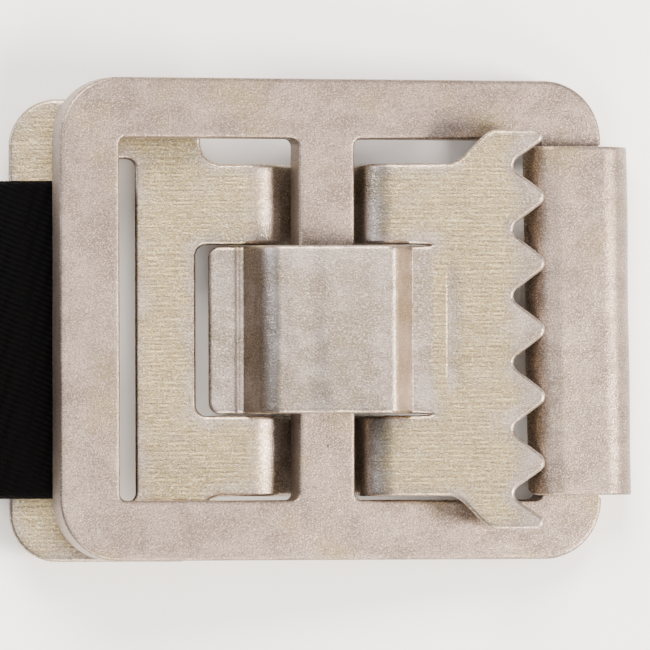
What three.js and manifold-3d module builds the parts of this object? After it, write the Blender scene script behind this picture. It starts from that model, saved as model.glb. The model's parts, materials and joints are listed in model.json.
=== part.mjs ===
// Webbing tension buckle: a stamped aluminium frame and a toothed lever of the same sheet, hooked into
// each other round the frame's centre bar, and the webbing strap that is sewn round the lever's end.
// Millimetres, +X from the strap to the toothed end, +Z up. The origin is at the floor, under the
// middle of the whole assembly.
import * as THREE from "three";
import { mergeVertices } from "three/addons/utils/BufferGeometryUtils.js";
import Module from "manifold-3d";

const wasm = await Module();
wasm.setup();

// ---------------------------------------------------------------- driving dimensions
const sheet = 2.4; // thickness of both stampings
const gap = 0.3; // clearance between touching pieces

// Frame, in its own plane, measured from the middle of the centre bar.
const frame = {
  left: -22.2,
  right: 23.2,
  height: 38.5,
  cornerRadius: 4.9,
  barHalfWidth: 2.35,
  leftWindowEnd: -17.25,
  rightWindowEnd: 18.1,
  windowHeight: 28.9,
  windowRadius: 0.6,
  tilt: 11.3, // degrees, left bar up
};

// The rolled bearing bar: a tab of the right bar, bent up and back over it.
const curl = {
  length: 28,
  offset: -0.1, // of its middle, along Y
  bendStart: 22.75,
  bendRadius: 1.5, // to the middle of the sheet
  lipStart: 18.95,
  lipRadius: 1.4, // to the middle of the sheet
  lipTurn: 75, // degrees that the free edge turns down
};

// Toothed lever, along its own flat, measured from the frame's centre bar.
const lever = {
  left: -25.1,
  leftWidth: 37,
  leftRadius: 3.8,
  shoulder: -9.8, // right end of the wide part
  filletRadius: 1.8,
  neckWidth: 26.6,
  flareStart: 10.1,
  flareEnd: 13.9,
  toothedWidth: 32,
  valley: 15.2,
  tip: 17.8,
  pitch: 5.33,
  innerTeeth: 5,
  tipRadius: 0.75,
  tabRadius: 0.8, // of the corners beside the teeth
  tabShort: 0.15, // how far those corners stand back from the tips
  slotLeft: -18.3,
  slotRight: -15,
  slotLength: 27.5,
  slotRadius: 0.8,
  tilt: 6.2, // degrees, toothed end up
  offset: -0.85, // along Y: the lever lies against one side of the frame's windows
};

// The two side strips of the neck dip under the centre bar, and the lanced tongue rises over it. Each
// step is a pair of equal bends: start is its left end, radius is to the middle of the sheet, turn is
// the slope between the bends in degrees.
const strips = {
  depth: 4,
  left: { start: -6.4, radius: 2.6, turn: 55 },
  right: { start: 1.6, radius: 2, turn: 70 },
};
const tongue = {
  width: 13.4,
  sideCut: 0.15,
  drawn: 0.04, // the lanced strip comes out this much thinner than the sheet
  rise: 4,
  lip: -9.15,
  left: { start: -6.4, radius: 1.35, turn: 65 },
  right: { start: 4.05, radius: 1.3, turn: 72 },
  root: 9,
  overlap: 0.6, // how far the strip runs on into the sheet at its root
  windowLeft: -10.2,
  windowRadius: 0.7,
};
const toothBend = { start: 14.6, drop: 0.38 }; // the teeth lean down a little, to their tips

// Strap.
const webbing = { width: 25.4, thick: 1.5, offset: -1.6 };
// Where the strap bends beside the lever: the loop reaches past the line, the tail stands clear of it,
// and the loop's two layers are together up to the crotch.
const swing = { x: -30, reach: 0.5, clear: 1.9, crotch: 1.2 };
const sewn = { length: 20, layers: 2 };
const roll = { radius: 18, x: -68 };
const stitching = { width: 19, length: 15, thread: 0.8, start: -49.4 };

const arcSteps = 8;
const spare = 1; // how far a cutting or matching shape runs past what it meets
const sharpest = 0.5; // the mitre of a band is never longer than half the sheet over this

// ---------------------------------------------------------------- helpers
const radians = THREE.MathUtils.degToRad;
const half = (size) => size / 2;

// The frame's lower right edge stands on the floor, which sets the height of the centre bar's middle.
const lean = radians(frame.tilt);
const pivotHeight = frame.right * Math.sin(lean) + half(sheet) * Math.cos(lean);

function solid(geometry) {
  const bare = geometry.clone();
  bare.deleteAttribute("normal");
  bare.deleteAttribute("uv");
  const merged = mergeVertices(bare, 1e-4);
  return new wasm.Manifold(
    new wasm.Mesh({
      numProp: 3,
      vertProperties: merged.attributes.position.array,
      triVerts: new Uint32Array(merged.index.array),
    }),
  );
}

function geometryOf(body) {
  const mesh = body.getMesh();
  const geometry = new THREE.BufferGeometry();
  geometry.setAttribute("position", new THREE.BufferAttribute(mesh.vertProperties, 3));
  geometry.setIndex(new THREE.BufferAttribute(mesh.triVerts, 1));
  const flat = geometry.toNonIndexed();
  flat.computeVertexNormals();
  return flat;
}

// A plan outline, raised along Z about z = 0.
function plate(shape, thick) {
  const geometry = new THREE.ExtrudeGeometry(shape, {
    depth: thick,
    bevelEnabled: false,
    curveSegments: arcSteps,
  });
  return solid(geometry.translate(0, 0, -half(thick)));
}

// A side profile in x and z, carried along Y about y = middle.
function swept(shape, width, middle = 0) {
  const geometry = new THREE.ExtrudeGeometry(shape, {
    depth: width,
    bevelEnabled: false,
    curveSegments: arcSteps,
  });
  return solid(geometry.rotateX(Math.PI / 2).translate(0, middle + half(width), 0));
}

// A rectangle with round corners, from its lowest to its highest corner.
function roundedBox(path, x0, y0, x1, y1, r) {
  path.moveTo(x0 + r, y0);
  path.lineTo(x1 - r, y0);
  path.absarc(x1 - r, y0 + r, r, -Math.PI / 2, 0, false);
  path.lineTo(x1, y1 - r);
  path.absarc(x1 - r, y1 - r, r, 0, Math.PI / 2, false);
  path.lineTo(x0 + r, y1);
  path.absarc(x0 + r, y1 - r, r, Math.PI / 2, Math.PI, false);
  path.lineTo(x0, y0 + r);
  path.absarc(x0 + r, y0 + r, r, Math.PI, 1.5 * Math.PI, false);
  return path;
}

// The outline of a sheet of even thickness that follows a middle line of points.
function band(points, thick) {
  const side = (sign) =>
    points.map((p, i) => {
      const before = points[Math.max(i - 1, 0)];
      const after = points[Math.min(i + 1, points.length - 1)];
      const inward = new THREE.Vector2().subVectors(p, before).normalize();
      const outward = new THREE.Vector2().subVectors(after, p).normalize();
      if (i === 0) inward.copy(outward);
      if (i === points.length - 1) outward.copy(inward);
      const along = inward.clone().add(outward).normalize();
      const stretch = half(thick) / Math.max(along.dot(inward), sharpest);
      return new THREE.Vector2(p.x - sign * along.y * stretch, p.y + sign * along.x * stretch);
    });
  return new THREE.Shape([...side(-1), ...side(1).reverse()]);
}

// A step between two heights, made of two equal and opposite bends joined by a straight slope.
function stepPoints({ start, radius, turn }, from, to) {
  const slope = radians(turn);
  const way = Math.sign(to - from);
  const straight = (Math.abs(to - from) - 2 * radius * (1 - Math.cos(slope))) / Math.sin(slope);
  const end = start + 2 * radius * Math.sin(slope) + straight * Math.cos(slope);
  const angles = Array.from({ length: arcSteps + 1 }, (_, i) => (slope * i) / arcSteps);
  const bent = (x, z, sign) => (a) =>
    new THREE.Vector2(x + sign * radius * Math.sin(a), z + sign * way * radius * (1 - Math.cos(a)));
  return [...angles.map(bent(start, from, 1)), ...angles.map(bent(end, to, -1)).reverse()];
}

function arcPoints(x, z, r, from, to, steps = arcSteps) {
  return Array.from({ length: steps + 1 }, (_, i) => {
    const a = radians(from + ((to - from) * i) / steps);
    return new THREE.Vector2(x + r * Math.cos(a), z + r * Math.sin(a));
  });
}

// Lever coordinates (along, up) to world x and z over the floor.
function fromLever(along, up) {
  const a = radians(lever.tilt);
  return new THREE.Vector2(
    along * Math.cos(a) - up * Math.sin(a),
    pivotHeight + along * Math.sin(a) + up * Math.cos(a),
  );
}

// ---------------------------------------------------------------- frame
function frameBody() {
  const outline = new THREE.Shape();
  const top = half(frame.height);
  roundedBox(outline, frame.left, -top, frame.right, top, frame.cornerRadius);
  const opening = half(frame.windowHeight);
  const windows = [
    [frame.leftWindowEnd, -frame.barHalfWidth],
    [frame.barHalfWidth, frame.rightWindowEnd],
  ];
  for (const [x0, x1] of windows) {
    outline.holes.push(roundedBox(new THREE.Path(), x0, -opening, x1, opening, frame.windowRadius));
  }
  const blank = plate(outline, sheet);

  const relief = new THREE.Shape();
  const past = frame.right + spare;
  relief.setFromPoints([
    new THREE.Vector2(curl.bendStart, -sheet),
    new THREE.Vector2(past, -sheet),
    new THREE.Vector2(past, sheet),
    new THREE.Vector2(curl.bendStart, sheet),
  ]);
  const upper = 2 * curl.bendRadius;
  const lipCentre = upper - curl.lipRadius;
  const line = [
    new THREE.Vector2(frame.rightWindowEnd + spare, 0),
    ...arcPoints(curl.bendStart, curl.bendRadius, curl.bendRadius, -90, 90, 2 * arcSteps),
    ...arcPoints(curl.lipStart, lipCentre, curl.lipRadius, 90, 90 + curl.lipTurn),
  ];
  return blank
    .subtract(swept(relief, curl.length, curl.offset))
    .add(swept(band(line, sheet), curl.length, curl.offset));
}

// ---------------------------------------------------------------- toothed lever
// The toothed edge, from its lowest valley to its highest: each tip is an arc between two valleys.
function toothEdge() {
  const points = [];
  const count = lever.innerTeeth;
  const first = -half(count) * lever.pitch;
  const flank = Math.atan2(lever.tip - lever.valley, half(lever.pitch));
  const spread = 90 - THREE.MathUtils.radToDeg(flank);
  for (let i = 0; i <= count; i++) {
    const valleyY = first + i * lever.pitch;
    points.push(new THREE.Vector2(lever.valley, valleyY));
    if (i === count) break;
    const tipY = valleyY + half(lever.pitch);
    const centre = lever.tip - lever.tipRadius;
    points.push(...arcPoints(centre, tipY, lever.tipRadius, -spread, spread, half(arcSteps)));
  }
  return points;
}

function leverOutline() {
  const shape = new THREE.Shape();
  const wide = half(lever.leftWidth);
  const neck = half(lever.neckWidth);
  const tooth = half(lever.toothedWidth);
  const r = lever.leftRadius;
  const f = lever.filletRadius;
  const tabTip = lever.tip - lever.tabShort;
  const c = lever.tabRadius;
  const edge = toothEdge();
  shape.moveTo(lever.left + r, -wide);
  shape.lineTo(lever.shoulder - f, -wide);
  shape.absarc(lever.shoulder - f, -wide + f, f, -Math.PI / 2, 0, false);
  shape.lineTo(lever.shoulder, -neck - f);
  shape.absarc(lever.shoulder + f, -neck - f, f, Math.PI, Math.PI / 2, true);
  shape.lineTo(lever.flareStart, -neck);
  const bend = half(lever.flareEnd - lever.flareStart);
  const middle = lever.flareStart + bend;
  shape.bezierCurveTo(middle, -neck, middle, -tooth, lever.flareEnd, -tooth);
  shape.lineTo(tabTip - c, -tooth);
  shape.quadraticCurveTo(tabTip, -tooth, tabTip, -tooth + c);
  for (const p of edge) shape.lineTo(p.x, p.y);
  shape.lineTo(tabTip, tooth - c);
  shape.quadraticCurveTo(tabTip, tooth, tabTip - c, tooth);
  shape.lineTo(lever.flareEnd, tooth);
  shape.bezierCurveTo(middle, tooth, middle, neck, lever.flareStart, neck);
  shape.lineTo(lever.shoulder + f, neck);
  shape.absarc(lever.shoulder + f, neck + f, f, 1.5 * Math.PI, Math.PI, true);
  shape.lineTo(lever.shoulder, wide - f);
  shape.absarc(lever.shoulder - f, wide - f, f, 0, Math.PI / 2, false);
  shape.lineTo(lever.left + r, wide);
  shape.absarc(lever.left + r, wide - r, r, Math.PI / 2, Math.PI, false);
  shape.lineTo(lever.left, -wide + r);
  shape.absarc(lever.left + r, -wide + r, r, Math.PI, 1.5 * Math.PI, false);

  const slot = half(lever.slotLength);
  const slotPath = new THREE.Path();
  shape.holes.push(roundedBox(slotPath, lever.slotLeft, -slot, lever.slotRight, slot, lever.slotRadius));
  const lance = half(tongue.width) + tongue.sideCut;
  const lancePath = new THREE.Path();
  const root = tongue.root - gap;
  shape.holes.push(
    roundedBox(lancePath, tongue.windowLeft, -lance, root, lance, tongue.windowRadius),
  );
  return shape;
}

function leverBody() {
  const stripLine = [
    new THREE.Vector2(lever.left - spare, 0),
    ...stepPoints(strips.left, 0, -strips.depth),
    ...stepPoints(strips.right, -strips.depth, 0),
    new THREE.Vector2(toothBend.start, 0),
    new THREE.Vector2(lever.tip, -toothBend.drop),
    new THREE.Vector2(lever.tip + spare, -toothBend.drop),
  ];
  const tongueLine = [
    new THREE.Vector2(tongue.lip, 0),
    ...stepPoints(tongue.left, 0, tongue.rise),
    ...stepPoints(tongue.right, tongue.rise, 0),
    new THREE.Vector2(tongue.root + tongue.overlap, 0),
  ];
  const deep = 2 * (2 * sheet + strips.depth); // reaches past every bend, above and below
  return swept(band(stripLine, sheet), lever.leftWidth + 2 * spare)
    .intersect(plate(leverOutline(), deep))
    .add(swept(band(tongueLine, sheet - tongue.drawn), tongue.width));
}

// ---------------------------------------------------------------- strap
// The webbing's closed loop round the lever's left bar: down through the slot, back under the bar, and
// together again where the strap is sewn.
function loopShape() {
  const face = half(sheet) + gap;
  const outer = face + webbing.thick;
  const bar = lever.slotLeft;
  const endX = swing.x + swing.reach;
  const seam = webbing.thick;
  const ring = (x, up, r, from, to) =>
    arcPoints(x, up, r, from, to, half(arcSteps)).map((p) => fromLever(p.x, p.y));
  const topEdge = fromLever(lever.left - gap, outer);
  const floorEdge = fromLever(lever.left - gap, -outer);
  const outline = [
    new THREE.Vector2(endX, 0),
    new THREE.Vector2(floorEdge.x, 0),
    ...ring(bar, -half(sheet), gap + webbing.thick, -90, 0),
    ...ring(bar, half(sheet), gap + webbing.thick, 0, 90),
    topEdge,
    new THREE.Vector2(endX, 2 * seam),
  ];
  const innerTop = fromLever(lever.left - gap, face);
  const innerBottom = fromLever(lever.left - gap, -face);
  const inner = [
    new THREE.Vector2(endX + swing.crotch, seam),
    innerTop,
    ...ring(bar, half(sheet), gap, 90, 0),
    ...ring(bar, -half(sheet), gap, 0, -90),
    innerBottom,
  ];
  const shape = new THREE.Shape(outline);
  shape.holes.push(new THREE.Path(inner));
  return shape;
}

function tailShape() {
  const start = swing.x - swing.clear;
  const doubled = sewn.layers * webbing.thick;
  const reach = roll.radius - webbing.thick - gap;
  const end = roll.x + Math.sqrt(roll.radius ** 2 - reach ** 2) + gap;
  return new THREE.Shape([
    new THREE.Vector2(end, 0),
    new THREE.Vector2(start, 0),
    new THREE.Vector2(start, doubled),
    new THREE.Vector2(start - sewn.length, doubled),
    new THREE.Vector2(start - sewn.length, webbing.thick),
    new THREE.Vector2(end, webbing.thick),
  ]);
}

function rollBody() {
  const sides = 6 * arcSteps;
  const geometry = new THREE.CylinderGeometry(roll.radius, roll.radius, webbing.width, sides);
  return solid(geometry.translate(roll.x, webbing.offset, roll.radius));
}

// A box of thread with its two diagonals, laid on the doubled webbing.
function stitchingBody() {
  const { width, length, thread } = stitching;
  const bar = (long, angle, x, y) => {
    const box = new THREE.BoxGeometry(long, thread, thread);
    return solid(box.rotateZ(angle).translate(x, y, 0));
  };
  const diagonal = Math.hypot(width, length) - thread;
  const slope = Math.atan2(width, length);
  const across = half(width - thread);
  const along = half(length - thread);
  return bar(length, 0, 0, across)
    .add(bar(length, 0, 0, -across))
    .add(bar(width, Math.PI / 2, along, 0))
    .add(bar(width, Math.PI / 2, -along, 0))
    .add(bar(diagonal, slope, 0, 0))
    .add(bar(diagonal, -slope, 0, 0));
}

// ---------------------------------------------------------------- assembly
const tumbledAluminium = new THREE.MeshStandardMaterial({
  color: 0xc6b8ae,
  roughness: 0.45,
  metalness: 0.9,
});
const rolledAluminium = new THREE.MeshStandardMaterial({
  color: 0xbcb29e,
  roughness: 0.5,
  metalness: 0.9,
});
const blackWebbing = new THREE.MeshStandardMaterial({ color: 0x0b0b0c, roughness: 0.9, metalness: 0 });
const blackThread = new THREE.MeshStandardMaterial({ color: 0x161617, roughness: 0.7, metalness: 0 });

function part(name, body, material) {
  const mesh = new THREE.Mesh(geometryOf(body), material);
  mesh.name = name;
  return mesh;
}

const frameGroup = new THREE.Group();
frameGroup.add(part("frame", frameBody(), tumbledAluminium));
frameGroup.position.z = pivotHeight;
frameGroup.rotation.y = lean;

const leverGroup = new THREE.Group();
leverGroup.add(part("toothed_lever", leverBody(), rolledAluminium));
leverGroup.position.set(0, lever.offset, pivotHeight);
leverGroup.rotation.y = -radians(lever.tilt);

const strapGroup = new THREE.Group();
const loop = swept(loopShape(), webbing.width, webbing.offset);
const tail = swept(tailShape(), webbing.width, webbing.offset);
strapGroup.add(part("webbing_loop", loop, blackWebbing));
strapGroup.add(part("webbing_tail", tail, blackWebbing));
strapGroup.add(part("webbing_roll", rollBody(), blackWebbing));
const thread = part("box_stitching", stitchingBody(), blackThread);
thread.position.set(
  stitching.start + half(stitching.length),
  webbing.offset,
  sewn.layers * webbing.thick + gap + half(stitching.thread),
);
strapGroup.add(thread);

// The assembly's box is measured once, so that its middle stands over the origin.
const assembly = new THREE.Group();
assembly.add(frameGroup, leverGroup, strapGroup);
assembly.updateMatrixWorld(true);
const box = new THREE.Box3().setFromObject(assembly, true);
const middle = box.getCenter(new THREE.Vector3());
assembly.position.set(-middle.x, -middle.y, -box.min.z);

const buckle = new THREE.Group();
buckle.add(assembly);
export default buckle;
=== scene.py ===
import json
import math

import bpy
import numpy as np
from mathutils import Matrix, Vector
from mathutils.geometry import delaunay_2d_cdt


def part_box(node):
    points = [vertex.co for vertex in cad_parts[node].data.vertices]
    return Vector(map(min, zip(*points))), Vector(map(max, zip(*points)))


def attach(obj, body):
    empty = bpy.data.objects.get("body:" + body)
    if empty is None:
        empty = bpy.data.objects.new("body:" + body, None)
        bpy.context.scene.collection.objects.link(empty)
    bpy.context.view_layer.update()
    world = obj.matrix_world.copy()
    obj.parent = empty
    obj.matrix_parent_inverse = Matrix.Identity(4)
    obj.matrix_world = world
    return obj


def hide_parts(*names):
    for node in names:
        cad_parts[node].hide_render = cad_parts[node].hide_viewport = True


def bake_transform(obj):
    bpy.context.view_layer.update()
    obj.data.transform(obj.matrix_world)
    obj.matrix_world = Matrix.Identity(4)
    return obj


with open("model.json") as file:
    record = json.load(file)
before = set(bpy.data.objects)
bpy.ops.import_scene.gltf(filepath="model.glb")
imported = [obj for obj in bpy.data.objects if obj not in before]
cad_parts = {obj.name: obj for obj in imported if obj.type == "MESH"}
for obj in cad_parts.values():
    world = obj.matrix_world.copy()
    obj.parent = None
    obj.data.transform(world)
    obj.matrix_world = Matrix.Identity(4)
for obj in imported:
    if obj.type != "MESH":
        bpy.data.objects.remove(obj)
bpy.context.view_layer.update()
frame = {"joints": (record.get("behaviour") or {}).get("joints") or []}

print("stage: frame loaded")

mm = 0.001
joints = {joint["name"]: joint for joint in frame["joints"]}
pivot = np.array(joints["frame_pivot"]["pos_m"]) / mm  # middle of the frame's centre bar
hinge = np.array(joints["lever_swing"]["pos_m"]) / mm  # where the strap bends at the lever
frameLow, frameHigh = [np.array(corner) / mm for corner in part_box("frame")]
leverLow, leverHigh = [np.array(corner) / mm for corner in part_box("toothed_lever")]
rollLow, rollHigh = [np.array(corner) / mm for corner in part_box("webbing_roll")]
tailLow, tailHigh = [np.array(corner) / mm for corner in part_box("webbing_tail")]
stitchLow, stitchHigh = [np.array(corner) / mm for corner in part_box("box_stitching")]

# ---- camera, lights and floor: a plain studio, seen from almost straight above

studio = {
    "distance": 800,  # mm, from the camera to the centre bar
    "leanX": -6.25,  # degrees from straight above, towards the strap
    "leanY": -0.85,
    "roll": -0.14,
    "aim": (0.18, 0.41),  # mm beside the centre bar, at the middle of the picture
    "pixelsPerMm": 12.49,
    "picture": 650,  # pixels
    "sensor": 36,
}


def linear(code):  # sRGB hex to linear light: ((c + 0.055) / 1.055) ** 2.4 above 0.04, c / 12.92 below
    channels = [int(code[i : i + 2], 16) / 255 for i in (1, 3, 5)]
    light = [c / 12.92 if c <= 0.04045 else ((c + 0.055) / 1.055) ** 2.4 for c in channels]
    return (*light, 1.0)


def addNode(tree, kind, inputs=None, **settings):
    node = tree.nodes.new(kind)
    for name, value in settings.items():
        setattr(node, name, value)
    for name, value in (inputs or {}).items():
        socket = node.inputs[name]
        if isinstance(value, bpy.types.NodeSocket):
            tree.links.new(value, socket)
        else:
            socket.default_value = value
    return node


def makeCamera():
    data = bpy.data.cameras.new("camera")
    data.sensor_width = studio["sensor"]
    span = studio["picture"] / studio["pixelsPerMm"]  # mm across the picture
    data.lens = studio["sensor"] * studio["distance"] / span
    data.clip_end = 20
    camera = bpy.data.objects.new("camera", data)
    bpy.context.scene.collection.objects.link(camera)
    aim = Vector(pivot * mm) + Vector((*studio["aim"], 0)) * mm
    away = Vector(
        (math.tan(math.radians(studio["leanX"])), math.tan(math.radians(studio["leanY"])), 1)
    ).normalized()
    up = Vector((0, 1, 0)) - away * away.y
    up.normalize()
    side = up.cross(away)
    turn = Matrix((side, up, away)).transposed() @ Matrix.Rotation(math.radians(studio["roll"]), 3, "Z")
    camera.matrix_world = Matrix.Translation(aim + away * studio["distance"] * mm) @ turn.to_4x4()
    bpy.context.scene.camera = camera


softboxes = [  # name, direction to it, distance and size in m, power in W, colour
    ("back", (-0.15, 0.74, 0.8), 0.95, 0.5, 22.0, "#fff1e4"),
    ("key", (0.8, -0.2, 0.56), 0.85, 0.26, 19.5, "#fff0e2"),
    ("front", (0.15, -0.85, 0.6), 1.0, 0.45, 18.0, "#fff3e8"),
    ("left", (-0.9, 0.3, 0.3), 1.0, 0.4, 6.0, "#eef3ff"),
    ("overhead", (0.0, 0.1, 1.0), 0.95, 0.6, 4.0, "#fff6ee"),
]


def makeLights():
    centre = Vector(pivot * mm)
    for name, direction, distance, size, power, colour in softboxes:
        data = bpy.data.lights.new(name, "AREA")
        data.shape = "SQUARE"
        data.size = size
        data.energy = power
        data.color = linear(colour)[:3]
        lamp = bpy.data.objects.new(name, data)
        bpy.context.scene.collection.objects.link(lamp)
        away = Vector(direction).normalized()
        lamp.location = centre + away * distance
        lamp.rotation_euler = away.to_track_quat("Z", "Y").to_euler()
    world = bpy.data.worlds.new("studio")
    world.use_nodes = True
    background = world.node_tree.nodes["Background"]
    background.inputs["Color"].default_value = linear("#cfddf8")
    background.inputs["Strength"].default_value = 0.5
    bpy.context.scene.world = world


def makeFloor():
    mesh = bpy.data.meshes.new("floor")
    reach = 1.5
    corners = [(-reach, -reach, 0), (reach, -reach, 0), (reach, reach, 0), (-reach, reach, 0)]
    mesh.from_pydata(corners, [], [(0, 1, 2, 3)])
    floor = bpy.data.objects.new("floor", mesh)
    bpy.context.scene.collection.objects.link(floor)
    material = bpy.data.materials.new("white_paper")
    material.use_nodes = True
    shader = material.node_tree.nodes["Principled BSDF"]
    shader.inputs["Base Color"].default_value = linear("#fbfbfa")
    shader.inputs["Roughness"].default_value = 0.9
    shader.inputs["Specular IOR Level"].default_value = 0.1
    mesh.materials.append(material)


makeCamera()
makeLights()
makeFloor()
print("stage: studio ready")

# ---- materials


def newMaterial(name):
    material = bpy.data.materials.new(name)
    material.use_nodes = True
    tree = material.node_tree
    return material, tree, tree.nodes["Principled BSDF"]


def scaledPlace(tree, sizes):  # object coordinates, so that one step of the pattern is sizes mm along X, Y and Z
    place = addNode(tree, "ShaderNodeTexCoord").outputs["Object"]
    return addNode(
        tree, "ShaderNodeMapping", {"Vector": place, "Scale": tuple(1 / (s * mm) for s in sizes)}
    ).outputs["Vector"]


def noise(tree, sizes, detail=2.0, rough=0.5):
    return addNode(
        tree,
        "ShaderNodeTexNoise",
        {"Vector": scaledPlace(tree, sizes), "Scale": 1.0, "Detail": detail, "Roughness": rough},
    ).outputs["Fac"]


def ramp(tree, factor, stops):  # stops is a list of (position, colour)
    node = addNode(tree, "ShaderNodeValToRGB", {"Fac": factor})
    elements = node.color_ramp.elements
    while len(elements) < len(stops):
        elements.new(0.5)
    for element, (position, colour) in zip(elements, stops):
        element.position = position
        element.color = linear(colour) if isinstance(colour, str) else (colour, colour, colour, 1)
    return node.outputs["Color"]


def mixed(tree, factor, a, b, how="MIX"):
    node = addNode(tree, "ShaderNodeMix", data_type="RGBA", blend_type=how)
    for socket, value in ((node.inputs[0], factor), (node.inputs[6], a), (node.inputs[7], b)):
        if isinstance(value, bpy.types.NodeSocket):
            tree.links.new(value, socket)
        elif isinstance(value, str):
            socket.default_value = linear(value)
        else:
            socket.default_value = value
    return node.outputs[2]


def bumped(tree, height, depth, under=None):  # depth in mm
    inputs = {"Height": height, "Distance": depth * mm, "Strength": 1.0}
    if under is not None:
        inputs["Normal"] = under
    return addNode(tree, "ShaderNodeBump", inputs).outputs["Normal"]


tumbled = {
    "pale": "#8e8076",
    "deep": "#71655c",
    "warm": "#83765b",  # yellower where the mill finish still shows
    "cut": "#958a7e",  # sheared edges
    # painted shade: the colour of the pits' dark spots, standing for the shade inside them
    "pitShadeColour": "#3f3830",
    "mottle": (3.0, 2.2, 3.0),  # mm, patches left by the tumbling stones
    "grit": (0.13, 0.11, 0.13),  # mm, peened dimples
    "pits": (2.2, 2.2, 2.2),
    "roughness": (0.36, 0.5),
}


def attribute(tree, name):
    return addNode(tree, "ShaderNodeAttribute", attribute_name=name).outputs["Fac"]


def spread(tree, value, low, high):  # 0 at low, 1 at high, straight between
    return addNode(
        tree, "ShaderNodeMapRange", {"Value": value, "From Min": low, "From Max": high}
    ).outputs["Result"]


def roughened(tree, shader, grit, limits, cut):
    low, high = limits
    rough = addNode(
        tree, "ShaderNodeMapRange", {"Value": grit, "From Min": 0.3, "From Max": 0.7, "To Min": high, "To Max": low}
    ).outputs["Result"]
    added = addNode(tree, "ShaderNodeMath", {0: cut, 1: 0.14, 2: rough}, operation="MULTIPLY_ADD").outputs[0]
    tree.links.new(added, shader.inputs["Roughness"])


# Stamped aluminium tumbled with stones: satin, peened all over, with a fine sparkle that is partly painted highlight,
# and a few pits painted as dark spots of shade.
def tumbledAluminium(name, facts):
    material, tree, shader = newMaterial(name)
    mottle = noise(tree, facts["mottle"], 3, 0.6)
    grit = noise(tree, facts["grit"], 2, 0.6)
    cut = attribute(tree, "cut")
    colour = mixed(tree, spread(tree, mottle, 0.36, 0.64), facts["deep"], facts["pale"])
    warmth = spread(tree, noise(tree, (7, 5, 7), 2, 0.5), 0.52, 0.72)
    colour = mixed(tree, warmth, colour, facts["warm"])
    line = noise(tree, (1.2, 0.16, 1.2), 1, 0.5)
    colour = mixed(tree, spread(tree, line, 0.6, 0.78), colour, facts["deep"])
    # painted highlight and painted shade: the peening's high points are made lighter as their glint, and its low points
    # darker as the shade in the dimples
    colour = mixed(tree, spread(tree, grit, 0.52, 0.72), colour, "#b8aca4")
    colour = mixed(tree, spread(tree, grit, 0.48, 0.3), colour, "#62574e")
    # painted shade of pits: dark spots where the cells and the chance noise allow; no dent is made in the surface
    cells = addNode(
        tree,
        "ShaderNodeTexVoronoi",
        {"Vector": scaledPlace(tree, facts["pits"]), "Scale": 1.0, "Randomness": 1.0},
    ).outputs["Distance"]
    chance = spread(tree, noise(tree, (5, 5, 5), 0), 0.6, 0.62)
    pitShade = addNode(tree, "ShaderNodeMath", {0: spread(tree, cells, 0.06, 0.03), 1: chance}, operation="MULTIPLY")
    colour = mixed(tree, pitShade.outputs[0], colour, facts["pitShadeColour"])
    colour = mixed(tree, cut, colour, facts["cut"])
    roughened(tree, shader, grit, facts["roughness"], cut)
    tree.links.new(colour, shader.inputs["Base Color"])
    shader.inputs["Metallic"].default_value = 1.0
    soft = bumped(tree, noise(tree, (1.6, 1.4, 1.6), 2), 0.035)
    lined = bumped(tree, line, 0.004, soft)
    tree.links.new(bumped(tree, grit, 0.02, lined), shader.inputs["Normal"])
    return material


rolledSheet = {
    "pale": "#bfaf7d",
    "deep": "#87785c",
    "worn": "#a59990",  # burnished pink-grey of the bends, edges and points
    "cut": "#75685a",
    "line": 0.37,  # mm from rolling line to rolling line
    "dash": (0.9, 0.26, 0.9),  # mm, the patches in which a line shows
    "grit": (0.15, 0.12, 0.15),
    "roughness": (0.3, 0.48),
}


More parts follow.
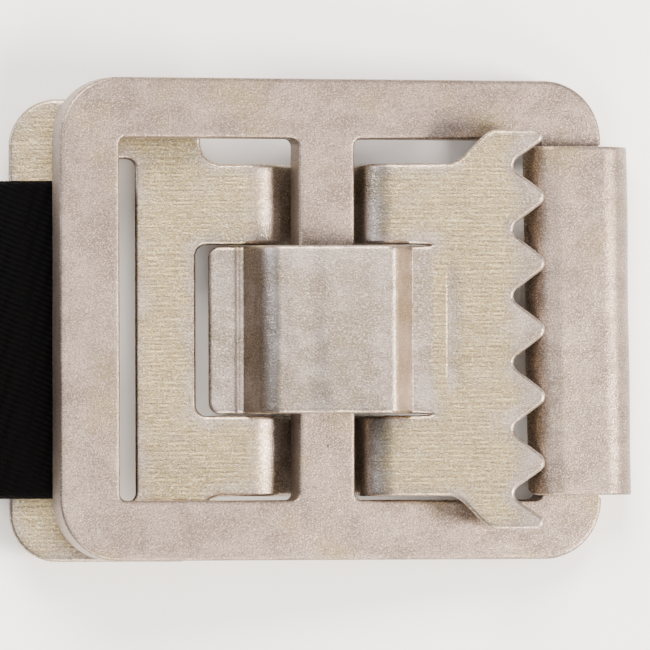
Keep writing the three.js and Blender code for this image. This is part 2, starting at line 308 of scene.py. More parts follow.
# Mill-finish aluminium sheet: short rolling lines along its length, yellower than the tumbled frame.
def rolledAluminium(name, facts):
    material, tree, shader = newMaterial(name)
    drift = noise(tree, (12, 1.1, 12), 0)
    side = addNode(
        tree, "ShaderNodeSeparateXYZ", {"Vector": scaledPlace(tree, (1, facts["line"], 1))}
    ).outputs["Y"]
    phase = addNode(tree, "ShaderNodeMath", {0: drift, 1: 1.6, 2: side}, operation="MULTIPLY_ADD").outputs[0]
    turned = addNode(tree, "ShaderNodeMath", {0: phase, 1: 2 * math.pi}, operation="MULTIPLY").outputs[0]
    wave = addNode(tree, "ShaderNodeMath", {0: turned}, operation="SINE").outputs[0]
    dashes = addNode(
        tree, "ShaderNodeMath", {0: wave, 1: spread(tree, noise(tree, facts["dash"], 1), 0.46, 0.66)}, operation="MULTIPLY"
    ).outputs[0]
    streak = addNode(tree, "ShaderNodeMath", {0: dashes, 1: 0.5, 2: 0.5}, operation="MULTIPLY_ADD").outputs[0]
    grit = noise(tree, facts["grit"], 2, 0.6)
    patch = noise(tree, (3.2, 2.4, 3.2), 3, 0.6)
    cut = attribute(tree, "cut")
    milled = mixed(tree, spread(tree, streak, 0.35, 0.8), facts["deep"], facts["pale"])
    handled = addNode(tree, "ShaderNodeMath", {0: patch, 1: 1.5, 2: -0.75}, operation="MULTIPLY_ADD").outputs[0]
    worn = addNode(
        tree, "ShaderNodeMath", {0: attribute(tree, "worn"), 1: handled}, operation="ADD", use_clamp=True
    ).outputs[0]
    burnished = mixed(tree, spread(tree, patch, 0.38, 0.64), "#83776e", facts["worn"])
    colour = mixed(tree, worn, milled, burnished)
    # painted highlight and painted shade: the grit's high points are made lighter as their glint, and its low points
    # darker as the shade in the dimples
    colour = mixed(tree, spread(tree, grit, 0.53, 0.73), colour, "#d6ccb8")
    colour = mixed(tree, spread(tree, grit, 0.44, 0.24), colour, "#63584c")
    colour = mixed(tree, cut, colour, facts["cut"])
    roughened(tree, shader, grit, facts["roughness"], cut)
    tree.links.new(colour, shader.inputs["Base Color"])
    shader.inputs["Metallic"].default_value = 1.0
    soft = bumped(tree, noise(tree, (1.6, 1.4, 1.6), 2), 0.06)
    kept = addNode(tree, "ShaderNodeMath", {0: 1.0, 1: worn}, operation="SUBTRACT").outputs[0]
    raised = addNode(tree, "ShaderNodeMath", {0: streak, 1: kept}, operation="MULTIPLY").outputs[0]
    lined = bumped(tree, raised, 0.009, soft)
    tree.links.new(bumped(tree, grit, 0.026, lined), shader.inputs["Normal"])
    return material


weave = {
    "yarn": "#020203",
    # painted shade: the darker colour given to the low points of the weave
    "shade": "#010101",
    "pick": 1.05,  # mm between the weft ribs, along the strap
    "end": 0.8,  # mm between the warp columns, across it
}


# Woven polyester webbing: black warp columns that rise and fall over the weft, with a dull sheen.
def wovenWebbing(name, facts):
    material, tree, shader = newMaterial(name)
    place = addNode(tree, "ShaderNodeUVMap", uv_map="strapMap").outputs["UV"]  # UV is in mm
    parts = addNode(tree, "ShaderNodeSeparateXYZ", {"Vector": place})

    def wave(value, pitch, shift):
        scaled = addNode(tree, "ShaderNodeMath", {0: value, 1: 2 * math.pi / pitch, 2: shift}, operation="MULTIPLY_ADD")
        return addNode(tree, "ShaderNodeMath", {0: scaled.outputs[0]}, operation="SINE").outputs[0]

    across, along = parts.outputs["X"], parts.outputs["Y"]
    columns = wave(across, facts["end"], 0.0)
    stepped = addNode(tree, "ShaderNodeMath", {0: along, 1: across}, operation="ADD").outputs[0]
    picks = wave(stepped, facts["pick"], 0.0)
    crossed = addNode(tree, "ShaderNodeMath", {0: columns, 1: picks}, operation="MULTIPLY").outputs[0]
    height = addNode(tree, "ShaderNodeMath", {0: crossed, 1: 0.5, 2: 0.5}, operation="MULTIPLY_ADD").outputs[0]
    fibre = addNode(
        tree,
        "ShaderNodeTexNoise",
        {"Vector": addNode(tree, "ShaderNodeMapping", {"Vector": place, "Scale": (12, 3, 1)}).outputs[0], "Scale": 1.0},
    ).outputs["Fac"]
    # painted shade: the weave's low points get the darker colour, as the shade between the yarns
    shade = mixed(tree, ramp(tree, height, [(0.2, 0.0), (0.9, 1.0)]), facts["shade"], facts["yarn"])
    shade = mixed(tree, ramp(tree, fibre, [(0.45, 0.0), (0.75, 0.5)]), shade, "#040405")
    tree.links.new(shade, shader.inputs["Base Color"])
    shader.inputs["Roughness"].default_value = 0.8
    shader.inputs["Specular IOR Level"].default_value = 0.05
    woven = bumped(tree, height, 0.16)
    tree.links.new(bumped(tree, fibre, 0.03, woven), shader.inputs["Normal"])
    return material


# Bonded polyester thread: black, twisted, a little shinier than the webbing.
def sewingThread(name):
    material, tree, shader = newMaterial(name)
    twist = noise(tree, (0.35, 0.08, 0.35), 1)
    tree.links.new(mixed(tree, twist, "#050506", "#151516"), shader.inputs["Base Color"])
    shader.inputs["Roughness"].default_value = 0.6
    shader.inputs["Specular IOR Level"].default_value = 0.2
    tree.links.new(bumped(tree, twist, 0.03), shader.inputs["Normal"])
    return material


print("stage: materials ready")

# ---- sheet-metal shapes: a flat outline with rounded edges, filled and then bent


# A circular arc, as points (x, y) = centre + radius * (cos a, sin a), a from start to end degrees.
def arc(x, y, radius, start, end, step=0.12):
    count = max(3, int(abs(math.radians(end - start)) * radius / step) + 1)
    angle = np.radians(np.linspace(start, end, count))
    return np.stack([x + radius * np.cos(angle), y + radius * np.sin(angle)], 1)


# Rounded rectangle from its lowest to its highest corner: four quarter circles, joined anticlockwise.
def roundRectangle(x0, y0, x1, y1, r):
    return np.concatenate(
        [
            arc(x0 + r, y0 + r, r, 180, 270),
            arc(x1 - r, y0 + r, r, 270, 360),
            arc(x1 - r, y1 - r, r, 0, 90),
            arc(x0 + r, y1 - r, r, 90, 180),
        ]
    )


# Rounds each corner of a polygon: the arc of the given radius that touches both of its sides.
def roundCorners(points, radii, step=0.12):
    points = np.asarray(points, float)
    pieces = []
    for before, corner, after, radius in zip(np.roll(points, 1, 0), points, np.roll(points, -1, 0), radii):
        inward = (before - corner) / np.linalg.norm(before - corner)
        outward = (after - corner) / np.linalg.norm(after - corner)
        half = math.acos(np.clip(inward @ outward, -1, 1)) / 2
        if radius < 1e-6 or half > math.pi / 2 - 0.02:
            pieces.append(corner[None])
            continue
        middle = corner + (inward + outward) / np.linalg.norm(inward + outward) * radius / math.sin(half)
        start = corner + inward * radius / math.tan(half) - middle
        end = corner + outward * radius / math.tan(half) - middle
        first = math.atan2(start[1], start[0])
        turn = (math.atan2(end[1], end[0]) - first + math.pi) % (2 * math.pi) - math.pi
        count = max(3, int(abs(turn) * radius / step) + 1)
        angle = first + turn * np.linspace(0, 1, count)
        pieces.append(middle + radius * np.stack([np.cos(angle), np.sin(angle)], 1))
    return np.concatenate(pieces)


# Adds points to a closed outline, so that no side is longer than step and each x in marks has one.
def finely(points, step, marks=()):
    following = np.roll(points, -1, 0)
    result = []
    for a, b in zip(points, following):
        count = max(1, int(np.ceil(np.linalg.norm(b - a) / step)))
        share = list(np.arange(count) / count)
        if abs(b[0] - a[0]) > 1e-6:
            crossing = (np.asarray(marks) - a[0]) / (b[0] - a[0]) if len(marks) else []
            share += [t for t in crossing if 0.02 < t < 0.98]
        share = np.unique(np.round(share, 6))
        result.append(a + np.outer(share, b - a))
    joined = np.concatenate(result)
    apart = np.linalg.norm(joined - np.roll(joined, 1, 0), axis=1) > 0.02
    return joined[apart]


def outlineNormals(points):  # outward for an anticlockwise outline: the side's direction turned right
    along = np.roll(points, -1, 0) - np.roll(points, 1, 0)
    normal = np.stack([along[:, 1], -along[:, 0]], 1)
    return normal / np.linalg.norm(normal, axis=1)[:, None]


# Section of a stamped edge, as (inset, height): a rolled top edge of radius
# top, an upright wall and a smaller tumbled radius at the bottom. It holds for any sheet thickness.
def edgeSection(thick, top, bottom):
    turn = np.radians(np.linspace(90, 0, 6))
    upper = np.stack([top - top * np.cos(turn), thick / 2 - top + top * np.sin(turn)], 1)
    turn = np.radians(np.linspace(0, -90, 5))
    lower = np.stack([bottom - bottom * np.cos(turn), -thick / 2 + bottom + bottom * np.sin(turn)], 1)
    lead = [[top + 0.18, thick / 2]]
    tail = [[bottom + 0.18, -thick / 2]]
    return np.concatenate([lead, upper, lower, tail])


def insideOutline(points, outline):  # even-odd rule: how many sides lie to the right of each point
    x, y = points[:, 0, None], points[:, 1, None]
    a, b = outline, np.roll(outline, -1, 0)
    straddles = (a[:, 1] > y) != (b[:, 1] > y)
    rise = np.where(np.abs(b[:, 1] - a[:, 1]) < 1e-12, 1e-12, b[:, 1] - a[:, 1])
    crossing = (b[:, 0] - a[:, 0]) * (y - a[:, 1]) / rise + a[:, 0]
    return (straddles & (x < crossing)).sum(1) % 2 == 1


# Fills the plane between closed loops with triangles on a grid of the given lines.
def fillLoops(loops, gridX, gridY, clear):
    ring = np.concatenate(loops)
    grid = np.stack(np.meshgrid(gridX, gridY), -1).reshape(-1, 2)
    inside = insideOutline(grid, loops[0])
    for hole in loops[1:]:
        inside &= ~insideOutline(grid, hole)
    grid = grid[inside]
    nearest = np.full(len(grid), 1e9)
    for start in range(0, len(ring), 400):
        offset = grid[:, None] - ring[None, start : start + 400]
        nearest = np.minimum(nearest, (offset**2).sum(2).min(1))
    grid = grid[nearest > clear**2]
    sides, first = [], 0
    for loop in loops:
        count = len(loop)
        sides += [(first + i, first + (i + 1) % count) for i in range(count)]
        first += count
    points = np.concatenate([ring, grid])
    made = delaunay_2d_cdt([Vector(p) for p in points.tolist()], sides, [], 0, 1e-7)
    places = np.array([tuple(p) for p in made[0]])
    faces = np.array([tuple(f) for f in made[2]])
    centres = places[faces].mean(1)
    keep = insideOutline(centres, loops[0])
    for hole in loops[1:]:
        keep &= ~insideOutline(centres, hole)
    faces = faces[keep]
    a, b, c = (places[faces[:, i]] for i in range(3))
    area = (b[:, 0] - a[:, 0]) * (c[:, 1] - a[:, 1]) - (b[:, 1] - a[:, 1]) * (c[:, 0] - a[:, 0])
    faces[area < 0] = faces[area < 0][:, ::-1]
    return places, faces


# A blank of the given thickness: each outline carries the edge section round it, and the two faces are
# filled. Returns plan points (x, y, height above the middle of the sheet) and faces.
def flatBlank(outlines, thick, top, bottom, gridX, gridY, clear=0.3):
    section = edgeSection(thick, top, bottom)
    points, faces, topLoops, bottomLoops, first = [], [], [], [], 0
    for i, outline in enumerate(outlines):
        normal = outlineNormals(outline)
        if i:
            outline, normal = outline[::-1], normal[::-1]  # a hole runs the other way round
            normal = outlineNormals(outline)
        rings = outline[None] - section[:, 0, None, None] * normal[None]
        heights = np.repeat(section[:, 1, None], len(outline), 1)
        points.append(np.concatenate([rings, heights[..., None]], 2).reshape(-1, 3))
        count, depth = len(outline), len(section)
        k, j = np.meshgrid(np.arange(depth - 1), np.arange(count), indexing="ij")
        after = (j + 1) % count
        quad = np.stack([k * count + j, (k + 1) * count + j, (k + 1) * count + after, k * count + after], -1)
        faces += (quad.reshape(-1, 4) + first).tolist()
        topLoops.append(rings[0])
        bottomLoops.append(rings[-1])
        first += count * depth
    for loops, height, flip in ((topLoops, thick / 2, False), (bottomLoops, -thick / 2, True)):
        places, triangles = fillLoops(loops, gridX, gridY, clear)
        points.append(np.column_stack([places, np.full(len(places), height)]))
        triangles = triangles[:, ::-1] if flip else triangles
        faces += (triangles + first).tolist()
        first += len(places)
    return np.concatenate(points), faces


def makePiece(name, points, faces, material, smoothAngle=180):
    mesh = bpy.data.meshes.new(name)
    mesh.from_pydata((points * mm).tolist(), [], faces)
    mesh.materials.append(material)
    piece = bpy.data.objects.new(name, mesh)
    bpy.context.scene.collection.objects.link(piece)
    return piece


def mergeSeams(piece, within=0.002):  # joins the edge rings to the faces where they meet
    import bmesh

    work = bmesh.new()
    work.from_mesh(piece.data)
    bmesh.ops.remove_doubles(work, verts=work.verts, dist=within * mm)
    bmesh.ops.dissolve_degenerate(work, dist=1e-7, edges=work.edges)
    bmesh.ops.recalc_face_normals(work, faces=work.faces)
    work.to_mesh(piece.data)
    work.free()
    piece.data.polygons.foreach_set("use_smooth", np.ones(len(piece.data.polygons), bool))
    piece.data.update()


# A bent strip seen from the side: x, height and slope of the middle of the sheet at each x. Each step is
# two equal opposite bends joined by a straight slope, as (start, radius, turn, from, to).
def sideLine(left, right, steps):
    xs, zs, slopes = [left], [steps[0][3] if steps else 0.0], [0.0]
    for start, radius, turn, low, high in steps:
        angle = math.radians(turn)
        way = math.copysign(1, high - low)
        straight = (abs(high - low) - 2 * radius * (1 - math.cos(angle))) / math.sin(angle)
        end = start + 2 * radius * math.sin(angle) + straight * math.cos(angle)
        a = np.linspace(0, angle, 10)
        xs += (start + radius * np.sin(a)).tolist() + (end - radius * np.sin(a))[::-1].tolist()
        rise = way * radius * (1 - np.cos(a))
        zs += (low + rise).tolist() + (high - rise)[::-1].tolist()
        slopes += (way * a).tolist() + (way * a)[::-1].tolist()
    xs.append(right)
    zs.append(zs[-1])
    slopes.append(0.0)
    return np.array(xs), np.array(zs), np.array(slopes)


# Lays blank points on a side line: x - height * sin(slope), line height + height * cos(slope).
def bendAlong(points, line):
    xs, zs, slopes = line
    slope = np.interp(points[:, 0], xs, slopes)
    z = np.interp(points[:, 0], xs, zs)
    h = points[:, 2]
    return np.stack([points[:, 0] - h * np.sin(slope), points[:, 1], z + h * np.cos(slope)], 1)


# Turns a piece's own plane about the centre bar: x = u cos a + h sin a, z = -u sin a + h cos a.
def placed(points, degrees, offsetY=0.0):
    a = math.radians(degrees)
    u, v, h = points.T
    turned = np.stack([u * math.cos(a) + h * math.sin(a), v, -u * math.sin(a) + h * math.cos(a)], 1)
    return turned + [pivot[0], offsetY, pivot[2]]


# Low swells left by the press: a sum of three sine waves over the plan, a few hundredths of a mm deep.
def pressWaves(points, depth):
    x, y = points[:, 0], points[:, 1]
    return depth * (
        np.sin(0.31 * x + 0.17 * y + 1.0) + 0.6 * np.sin(0.11 * x - 0.43 * y) + 0.4 * np.sin(0.7 * x + 0.5 * y + 2.0)
    )


# Gives a piece, point by point, how much it is a sheared edge (cut) and how worn it is. Plan points are those of the flat blank.
def markEdges(piece, blank, thick, worn):
    depth = thick / 2 - np.abs(blank[:, 2])
    cut = np.clip((depth - 0.12) / 0.25, 0, 1)
    for name, values in (("cut", cut), ("worn", worn)):
        layer = piece.data.attributes.new(name, "FLOAT", "POINT")
        layer.data.foreach_set("value", values.astype(np.float32))


def edgeDistance(blank, outlines):  # mm in plan, from each point to the nearest outline point
    ring = np.concatenate(outlines)
    nearest = np.full(len(blank), 1e9)
    for start in range(0, len(ring), 200):
        offset = blank[:, None, :2] - ring[None, start : start + 200]
        nearest = np.minimum(nearest, (offset**2).sum(2).min(1))
    return np.sqrt(nearest)


sheet = 2.4  # mm, both stampings

# ---- frame: rounded rectangle, two windows, and the tab curled back over the right bar

frameSheet = {
    "left": -22.2,
    "right": 23.2,
    "height": 38.5,
    "corner": 4.9,
    "windows": ((-17.25, -2.35), (2.35, 18.1)),
    "windowHeight": 28.9,
    "windowCorner": 0.6,
    "tilt": 11.3,  # degrees, left bar up
    "middleY": 0.05,
    "tabWidth": 28.0,
    "tabOffset": -0.1,
    "bendStart": 22.75,
    "bendRadius": 1.5,  # to the middle of the sheet
    "lipStart": 18.95,
    "lipRadius": 1.4,
    "lipTurn": 75,
    "lipCorner": 0.65,
    "skew": (0.015, 0.2),  # the curl is out of square: lean per mm of length, and mean set-back
    "topEdge": 0.26,
    "bottomEdge": 0.18,
}


# The tab's run from the bend start, by distance: half a turn up, straight back, and down at the lip.
def curlPlace(run, facts):
    radius, lip = facts["bendRadius"], facts["lipRadius"]
    first = math.pi * radius
    straight = facts["bendStart"] - facts["lipStart"]
    a = np.clip(run, 0, first) / radius
    along = np.clip(run - first, 0, straight)
    b = np.clip(run - first - straight, 0, None) / lip
    x = facts["bendStart"] + radius * np.sin(a) - along - lip * np.sin(b)
    z = radius * (1 - np.cos(a)) - lip * (1 - np.cos(b))
    return x, z, a + b


def makeFrame():
    facts = frameSheet
    top = facts["height"] / 2
    low = facts["tabOffset"] - facts["tabWidth"] / 2
    high = facts["tabOffset"] + facts["tabWidth"] / 2
    run = math.pi * facts["bendRadius"] + facts["bendStart"] - facts["lipStart"]
    run += math.radians(facts["lipTurn"]) * facts["lipRadius"]
    tabEnd = facts["bendStart"] + run
    right, left, corner, lip = facts["right"], facts["left"], facts["corner"], facts["lipCorner"]
    outline = roundCorners(
        [(left, -top), (right, -top), (right, low), (tabEnd, low), (tabEnd, high), (right, high), (right, top), (left, top)],
        [corner, corner - 0.1, 0, lip, lip, 0, corner - 0.1, corner],
    )
    opening = facts["windowHeight"] / 2
    outlines = [finely(outline, 0.5, np.arange(facts["bendStart"], tabEnd, 0.25))]
    for x0, x1 in facts["windows"]:
        window = roundRectangle(x0, -opening, x1, opening, facts["windowCorner"])
        outlines.append(finely(window, 0.5))
    gridX = np.concatenate([np.arange(left, facts["bendStart"], 0.8), np.arange(facts["bendStart"], tabEnd, 0.25)])
    gridY = np.arange(-top, top, 0.8)
    points, faces = flatBlank(outlines, sheet, facts["topEdge"], facts["bottomEdge"], gridX, gridY)
    blank = points.copy()
    points[:, 2] += pressWaves(points, 0.03)
    onTab = (points[:, 0] > facts["bendStart"]) & (points[:, 1] > low - 0.02) & (points[:, 1] < high + 0.02)
    x, z, turn = curlPlace(np.where(onTab, points[:, 0] - facts["bendStart"], 0), facts)
    h = points[:, 2]
    lean, back = facts["skew"]
    x = x - (lean * points[:, 1] + back) * np.clip((points[:, 0] - facts["bendStart"]) / 3, 0, 1)
    bent = np.stack([x - h * np.sin(turn), points[:, 1], z + h * np.cos(turn)], 1)
    points = np.where(onTab[:, None], bent, points)
    points = placed(points, facts["tilt"], facts["middleY"])
    piece = makePiece("buckleFrame", points, faces, tumbledAluminium("tumbledAluminium", tumbled))
    markEdges(piece, blank, sheet, np.zeros(len(blank)))
    mergeSeams(piece)
    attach(piece, "frame")
    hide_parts("frame")
    return piece


buckleFrame = makeFrame()
print("stage: frame made,", len(buckleFrame.data.polygons), "faces")

# ---- toothed lever: slotted end, neck with the lanced tongue, toothed end

leverSheet = {
    "left": -25.1,
    "leftWidth": 37.0,
    "corner": 3.8,
    "shoulder": -9.8,
    "fillet": 1.8,
    "neck": 26.6,
    "flare": (10.1, 13.9),
    "toothedWidth": 32.0,
    "valley": 14.8,  # of the sharp corner, before it is rounded
    "tip": 18.3,
    "tabTip": 18.8,
    "pitch": 5.33,
    "teeth": 5,
    "tipRadius": 0.8,
    "valleyRadius": 0.7,
    "slot": (-18.3, -15.0),
    "slotLength": 27.5,
    "slotCorner": 0.8,
    "tilt": -6.2,  # degrees, toothed end up
    "offsetY": -0.8,
    "tongueWidth": 13.4,
    "cut": 0.15,
    "lip": -9.15,
    "lanceLeft": -10.2,
    "root": 8.9,
    "taper": 1.4,  # mm over which each side cut closes
    "stripSteps": ((-6.4, 2.6, 55, 0.0, -4.0), (1.6, 2.0, 70, -4.0, 0.0)),
    "tongueSteps": ((-6.4, 1.35, 65, 0.0, 4.0), (4.05, 1.3, 72, 4.0, 0.0)),
    "toothBend": (14.6, 17.8, 0.26),  # from, to, drop of the points
    "crown": 0.2,  # rise of the tongue's top between its bends
    "press": (9.8, 0.25, 1.5, 0.11, -5.6, 6.0),  # die mark: where, drop, recovery, depth, across from, to
    "wave": (0.045, 3.9),  # the tongue's top rises and falls by, over
    "crease": (-6.8, 0.16, 0.09),  # ridge left at the lip's bend: where, half width, height
    "coined": (2.5, 0.08, 0.42),  # outer radius of the tongue's top bends, and how far coining fills the left and right
    "topEdge": 0.3,
    "bottomEdge": 0.18,
}


# S-curve of the flare: y = neck + (tooth - neck) * (3 t^2 - 2 t^3), t from 0 to 1 along x.
def flareCurve(facts, side):
    start, end = facts["flare"]
    t = np.linspace(0, 1, 24)
    neck, tooth = facts["neck"] / 2, facts["toothedWidth"] / 2
    return np.stack([start + (end - start) * t, side * (neck + (tooth - neck) * t * t * (3 - 2 * t))], 1)


def leverOutline(facts):
    wide, neck, tooth = facts["leftWidth"] / 2, facts["neck"] / 2, facts["toothedWidth"] / 2
    left, shoulder, tip, tab = facts["left"], facts["shoulder"], facts["tip"], facts["tabTip"]
    lowFlare, highFlare = flareCurve(facts, -1), flareCurve(facts, 1)[::-1]
    count = facts["teeth"]
    valleys = (np.arange(count + 1) - count / 2) * facts["pitch"]
    tips = (np.arange(count) - (count - 1) / 2) * facts["pitch"]
    edge, radii = [], []
    for i, valley in enumerate(valleys):
        edge.append((facts["valley"], valley * (0.985 if i in (0, count) else 1)))
        radii.append(facts["valleyRadius"])
        if i < count:
            edge.append((tip, tips[i]))
            radii.append(facts["tipRadius"])
    corners = [(left, -wide), (shoulder, -wide), (shoulder, -neck)]
    cornerRadii = [facts["corner"], facts["fillet"], facts["fillet"]]
    corners += lowFlare.tolist() + [(tab, -tooth)] + edge + [(tab, tooth)] + highFlare.tolist()
    cornerRadii += [0] * len(lowFlare) + [0.56] + radii + [0.56] + [0] * len(highFlare)
    corners += [(shoulder, neck), (shoulder, wide), (left, wide)]
    cornerRadii += [facts["fillet"], facts["fillet"], facts["corner"]]
    return roundCorners(corners, cornerRadii)


# The U-shaped cut round the tongue: a gap past its lip and a fine cut along each side.
def lanceOutline(facts):
    inner = facts["tongueWidth"] / 2
    outer = inner + facts["cut"]
    left, lip, root = facts["lanceLeft"], facts["lip"], facts["root"]
    taper, middle = root - facts["taper"], (inner + outer) / 2
    corners = [(left, -outer), (taper, -outer), (root, -middle), (taper, -inner), (lip, -inner)]
    corners += [(lip, inner), (taper, inner), (root, middle), (taper, outer), (left, outer)]
    return roundCorners(corners, [0.9, 0, 0, 0, 0.9, 0.9, 0, 0, 0, 0.9])


def makeLever():
    facts = leverSheet
    strips = sideLine(facts["left"] - 1, facts["tip"] + 1, facts["stripSteps"])
    tongue = sideLine(facts["lip"] - 1, facts["tip"] + 1, facts["tongueSteps"])
    place, drop, recovery = facts["press"][:3]
    ridge = facts["crease"][0] + np.arange(-3, 4) * 0.12
    die = np.concatenate([ridge, [place, place + drop], np.arange(place + 2 * drop, place + recovery + 0.5, 0.3)])
    marks = np.unique(np.concatenate([strips[0], tongue[0], die]).round(3))
    marks = marks[(marks > facts["left"]) & (marks < facts["tip"])]
    slot = facts["slotLength"] / 2
    outlines = [
        finely(leverOutline(facts), 0.45, marks),
        finely(roundRectangle(facts["slot"][0], -slot, facts["slot"][1], slot, facts["slotCorner"]), 0.45),
        finely(lanceOutline(facts), 0.45, marks),
    ]
    gridX = np.unique(np.concatenate([np.arange(facts["left"], facts["tip"], 0.7), marks]).round(3))
    gridX = gridX[np.concatenate([[True], np.diff(gridX) > 0.05])]
    gridY = np.arange(-facts["leftWidth"] / 2, facts["leftWidth"] / 2, 0.6)
    return facts, strips, tongue, outlines, gridX, gridY


def bendLever(facts, strips, tongue, outlines, gridX, gridY):
    points, faces = flatBlank(outlines, sheet, facts["topEdge"], facts["bottomEdge"], gridX, gridY, 0.16)
    blank = points.copy()
    points[:, 2] += pressWaves(points, 0.02)
    x, y = points[:, 0], points[:, 1]
    onTongue = (np.abs(y) < facts["tongueWidth"] / 2 + facts["cut"] / 2) & (x > facts["lip"] - 0.5) & (x < facts["root"])
    start, end, drop = facts["toothBend"]
    rise, over = facts["wave"]
    across = np.clip(1 - (2 * y / facts["tongueWidth"]) ** 2, 0, 1)
    level = np.clip((x + 4.2) / 3, 0, 1) * np.clip((5.2 - x) / 3, 0, 1)
    outer, *fills = facts["coined"]
    filled = np.where(x < 0, *fills)
    turn = max(math.radians(step[2]) for step in facts["tongueSteps"])
    lean = np.abs(np.interp(x, tongue[0], tongue[2]))
    high = np.interp(x, tongue[0], tongue[1]) > 2
    # corner left square by the die: outer * (1 / cos(lean) - 1) beyond the arc, up to what is filled
    square = outer * (1 / np.cos(np.minimum(lean, np.clip(turn - lean, 0, None))) - 1)
    place, reach, rise = facts["crease"]
    ridge = rise * np.exp(-(((x - place) / reach) ** 2))
    extra = (np.minimum(square, filled) * high + ridge) * (blank[:, 2] > 0)
    lean = np.clip((x - start) / (end - start), 0, None)
    crowned = bendAlong(points + np.stack([0 * x, 0 * x, extra], 1), tongue) + np.stack([0 * x, 0 * x, level * (facts["crown"] * (0.4 + 0.6 * across) + rise * np.sin(2 * math.pi * x / over))], 1)
    dipped = bendAlong(points, strips) - np.stack([0 * x, 0 * x, drop * lean**1.4], 1)
    points = np.where(onTongue[:, None], crowned, dipped)
    place, fall, recovery, depth, low, high = facts["press"]
    length = np.clip((y - low) / 2.0, 0, 1) * np.clip((high - y) / 2.0, 0, 1)
    back = np.clip((x - place - fall) / recovery, 0, 1)
    mark = np.clip((x - place) / fall, 0, 1) * (1 - back * back * (3 - 2 * back)) * length
    points[:, 2] -= depth * mark * np.sign(blank[:, 2]).clip(0, 1)
    slope = np.abs(np.interp(x, strips[0], strips[2]))
    bare = np.clip(1.2 - edgeDistance(blank, outlines) / 1.1, 0, 1)
    worn = onTongue + np.clip(lean * 1.6, 0, 1) + 0.8 * bare + slope * 1.5 + mark
    worn = np.clip(worn, 0, 1)
    return placed(points, facts["tilt"], facts["offsetY"]), faces, blank, worn


def finishLever():
    facts, *parts = makeLever()
    points, faces, blank, worn = bendLever(facts, *parts)
    piece = makePiece("toothedLever", points, faces, rolledAluminium("rolledAluminium", rolledSheet))
    markEdges(piece, blank, sheet, worn)
    mergeSeams(piece)
    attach(piece, "lever")
    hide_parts("toothed_lever")
    return piece


toothedLever = finishLever()
print("stage: lever made,", len(toothedLever.data.polygons), "faces")

# ---- strap: one length of webbing, from the roll along the floor, round the lever's bar and back

strap = {
    "width": 25.4,
    "thick": 1.5,
    "bar": (-25.1, -18.3),  # lever coordinates of the bar inside the loop
    "gap": 0.3,
    "sewn": 20.0,
    "rollPitch": 1.62,  # mm from turn to turn
    "rollInner": 3.6,
    "selvedge": 0.55,
    "fine": 0.25,
    "coarse": 0.8,
}


def fromLever(along, up):
    a = math.radians(-leverSheet["tilt"])
    x = pivot[0] + along * math.cos(a) - up * math.sin(a)
    return np.stack([x, pivot[2] + along * math.sin(a) + up * math.cos(a)], -1)


# Catmull-Rom curve through the given points, sampled evenly: each piece is the cubic whose slope at a
# point is half the step between that point's neighbours.
def smoothLine(points, step):
    p = np.concatenate([[2 * points[0] - points[1]], points, [2 * points[-1] - points[-2]]])
    t = np.linspace(0, 1, 24, endpoint=False)[:, None]
    pieces = [
        0.5
        * (
            2 * p[i + 1]
            + (p[i + 2] - p[i]) * t
            + (2 * p[i] - 5 * p[i + 1] + 4 * p[i + 2] - p[i + 3]) * t**2
            + (3 * p[i + 1] - p[i] - 3 * p[i + 2] + p[i + 3]) * t**3
        )
        for i in range(len(points) - 1)
    ]
    return evenly(np.concatenate(pieces + [points[-1:]]), step)


def evenly(points, step):
    length = np.concatenate([[0], np.cumsum(np.linalg.norm(np.diff(points, axis=0), axis=1))])
    at = np.linspace(0, length[-1], max(2, int(length[-1] / step) + 1))
    return np.stack([np.interp(at, length, points[:, i]) for i in range(2)], 1)


def strapLine():
    facts = strap
    half = facts["thick"] / 2
    centreX, centreZ = (rollLow[0] + rollHigh[0]) / 2, (rollLow[2] + rollHigh[2]) / 2
    outer = centreZ - half
    turns = (outer - facts["rollInner"]) / facts["rollPitch"]
    angle = np.linspace(2 * math.pi * turns, 0, int(turns * 90))
    radius = outer - facts["rollPitch"] * angle / (2 * math.pi)
    spiral = np.stack([centreX - radius * np.sin(angle), centreZ - radius * np.cos(angle)], 1)
    face = sheet / 2 + facts["gap"] + half
    barLeft, barRight = facts["bar"]
    floorTurn = fromLever(barLeft, -face)
    under = [(centreX + 1, half), (tailHigh[0], half), (hinge[0], half), (floorTurn[0] - 1.2, half)]
    corner = np.radians(np.array([-90, -60, -30, 0]))
    reach = facts["gap"] + half
    lowTurn = fromLever(barRight + reach * np.cos(corner), -sheet / 2 + reach * np.sin(corner))
    highTurn = fromLever(barRight + reach * np.sin(corner + np.pi / 2), sheet / 2 + reach * np.cos(corner + np.pi / 2)[::1])
    highTurn = fromLever(barRight + reach * np.cos(corner + np.pi / 2), sheet / 2 + reach * np.sin(corner + np.pi / 2))
    over = fromLever(np.array([-20.5, -23.0, -24.6]), np.array([face, face, face - 0.05]))
    meet = [(hinge[0] + 2.2, 3 * half + 1.5), (hinge[0] + 0.6, 3 * half + 0.25), (hinge[0] - 0.6, 3 * half + 0.05)]
    back = [(hinge[0] - 2.5, 3 * half + 0.02), (tailHigh[0] - facts["sewn"], 3 * half + 0.02)]
    loop = np.concatenate(
        [under, [fromLever(-22.5, -face), fromLever(-20.0, -face)], lowTurn, highTurn, over, meet, back]
    )
    return evenly(spiral, facts["coarse"]), smoothLine(loop, facts["fine"])


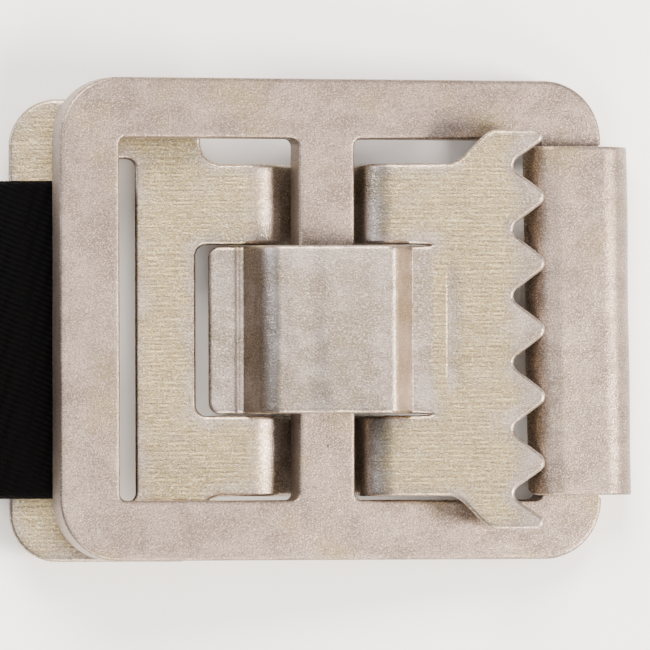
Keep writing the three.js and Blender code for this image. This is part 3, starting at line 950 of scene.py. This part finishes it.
# The strap's section, width by thickness with half-round selvedges, carried along its side line. The
# side direction is always Y, and the thickness direction is the line's normal.
def makeStrap():
    facts = strap
    spiral, loop = strapLine()
    line = np.concatenate([spiral[:-1], loop])
    length = np.concatenate([[0], np.cumsum(np.linalg.norm(np.diff(line, axis=0), axis=1))])
    tangent = np.gradient(line, axis=0)
    tangent /= np.linalg.norm(tangent, axis=1)[:, None]
    normal = np.stack([-tangent[:, 1], tangent[:, 0]], 1)
    middle = (tailLow[1] + tailHigh[1]) / 2
    edge, half = facts["selvedge"], facts["thick"] / 2
    flat = np.linspace(-1, 1, 13) * (facts["width"] / 2 - edge)
    turn = np.radians(np.linspace(90, -90, 7))[1:-1]
    upper = np.stack([flat, np.full(13, half)], 1)
    right = np.stack([facts["width"] / 2 - edge + edge * np.cos(turn), half * np.sin(turn)], 1)
    section = np.concatenate([upper, right, -upper, -right])
    count, stations = len(section), len(line)
    y = middle + section[None, :, 0] + 0 * length[:, None]
    x = line[:, None, 0] + section[None, :, 1] * normal[:, None, 0]
    z = line[:, None, 1] + section[None, :, 1] * normal[:, None, 1]
    points = np.stack([x, y, z], 2).reshape(-1, 3)
    k, j = np.meshgrid(np.arange(stations - 1), np.arange(count), indexing="ij")
    after = (j + 1) % count
    quads = np.stack([k * count + j, k * count + after, (k + 1) * count + after, (k + 1) * count + j], -1)
    faces = quads.reshape(-1, 4).tolist()
    faces.append(list(range(count))[::-1])
    faces.append([(stations - 1) * count + i for i in range(count)])
    piece = makePiece("webbingStrap", points, faces, wovenWebbing("blackWovenWebbing", weave))
    mesh = piece.data
    mesh.polygons.foreach_set("use_smooth", np.ones(len(mesh.polygons), bool))
    around = np.concatenate([[0], np.cumsum(np.linalg.norm(np.diff(section, axis=0), axis=1))])
    across = np.tile(around, stations)
    along = np.repeat(length, count)
    corners = np.empty(len(mesh.loops), np.int32)
    mesh.loops.foreach_get("vertex_index", corners)
    uv = mesh.uv_layers.new(name="strapMap")
    uv.data.foreach_set("uv", np.stack([across[corners], along[corners]], 1).astype(np.float32).ravel())
    start, end = hinge.copy(), hinge.copy()
    start[0] -= 1.9
    end[0] += 1.9
    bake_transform(piece)
    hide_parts("webbing_loop", "webbing_tail", "webbing_roll")
    print("strap length, mm:", round(float(length[-1]), 1))
    return piece


webbingStrap = makeStrap()
print("stage: strap made,", len(webbingStrap.data.polygons), "faces")

# ---- sewn joint: a box of stitches with its diagonals, on the top face of the doubled webbing

seam = {
    "stitch": 2.6,  # mm from hole to hole
    "bite": 0.35,  # mm of each stitch that is pulled into its holes
    "thread": 0.42,  # mm across
    "inset": 0.6,
}


def seamPoints(low, high):
    a, b, c, d = (low[0], low[1]), (high[0], low[1]), (high[0], high[1]), (low[0], high[1])
    route = [a, b, c, d, a, c], [b, d]
    return [(np.array(p), np.array(q)) for run in route for p, q in zip(run, run[1:])]


# One stitch: a tube round a shallow arch, height = thread * sin(pi t) over its length, ends closed.
def stitchShape(long, thick, rings=9, sides=8):
    t = np.linspace(0, 1, rings)
    swell = np.sqrt(np.clip(1 - (2 * t - 1) ** 6, 0, 1)) * 0.5 * thick
    around = np.linspace(0, 2 * math.pi, sides, endpoint=False)
    x = (t - 0.5)[:, None] * long + 0 * around
    y = swell[:, None] * np.cos(around)
    z = swell[:, None] * np.sin(around) * 0.8 + (np.sin(math.pi * t) * thick * 0.35)[:, None]
    return np.stack([x, y, z], 2).reshape(-1, 3)


def makeStitching():
    facts = seam
    low = np.array([stitchLow[0] + facts["inset"], stitchLow[1] + facts["inset"]])
    high = np.array([stitchHigh[0] - facts["inset"], stitchHigh[1] - facts["inset"]])
    rings, sides = 9, 8
    shape = stitchShape(facts["stitch"] - facts["bite"], facts["thread"], rings, sides)
    spots, angles = [], []
    for p, q in seamPoints(low, high):
        count = max(1, round(np.linalg.norm(q - p) / facts["stitch"]))
        spots.append(p + np.outer((np.arange(count) + 0.5) / count, q - p))
        angles.append(np.full(count, math.atan2(*(q - p)[::-1])))
    spots, angles = np.concatenate(spots), np.concatenate(angles)
    top = 2 * strap["thick"] + 0.02
    x, y, z = shape.T
    turned = np.stack(
        [
            np.outer(np.cos(angles), x) - np.outer(np.sin(angles), y) + spots[:, :1],
            np.outer(np.sin(angles), x) + np.outer(np.cos(angles), y) + spots[:, 1:],
            np.tile(z + top, (len(spots), 1)),
        ],
        2,
    )
    k, j = np.meshgrid(np.arange(rings - 1), np.arange(sides), indexing="ij")
    after = (j + 1) % sides
    quad = np.stack([k * sides + j, (k + 1) * sides + j, (k + 1) * sides + after, k * sides + after], -1)
    quad = quad.reshape(-1, 4)
    firsts = (np.arange(len(spots)) * len(shape))[:, None, None]
    faces = (quad[None] + firsts).reshape(-1, 4).tolist()
    piece = makePiece("boxStitching", turned.reshape(-1, 3), faces, sewingThread("blackThread"))
    mergeSeams(piece)
    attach(piece, "strap")
    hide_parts("box_stitching")
    return piece


boxStitching = makeStitching()
print("stage: stitching made,", len(boxStitching.data.polygons), "faces")
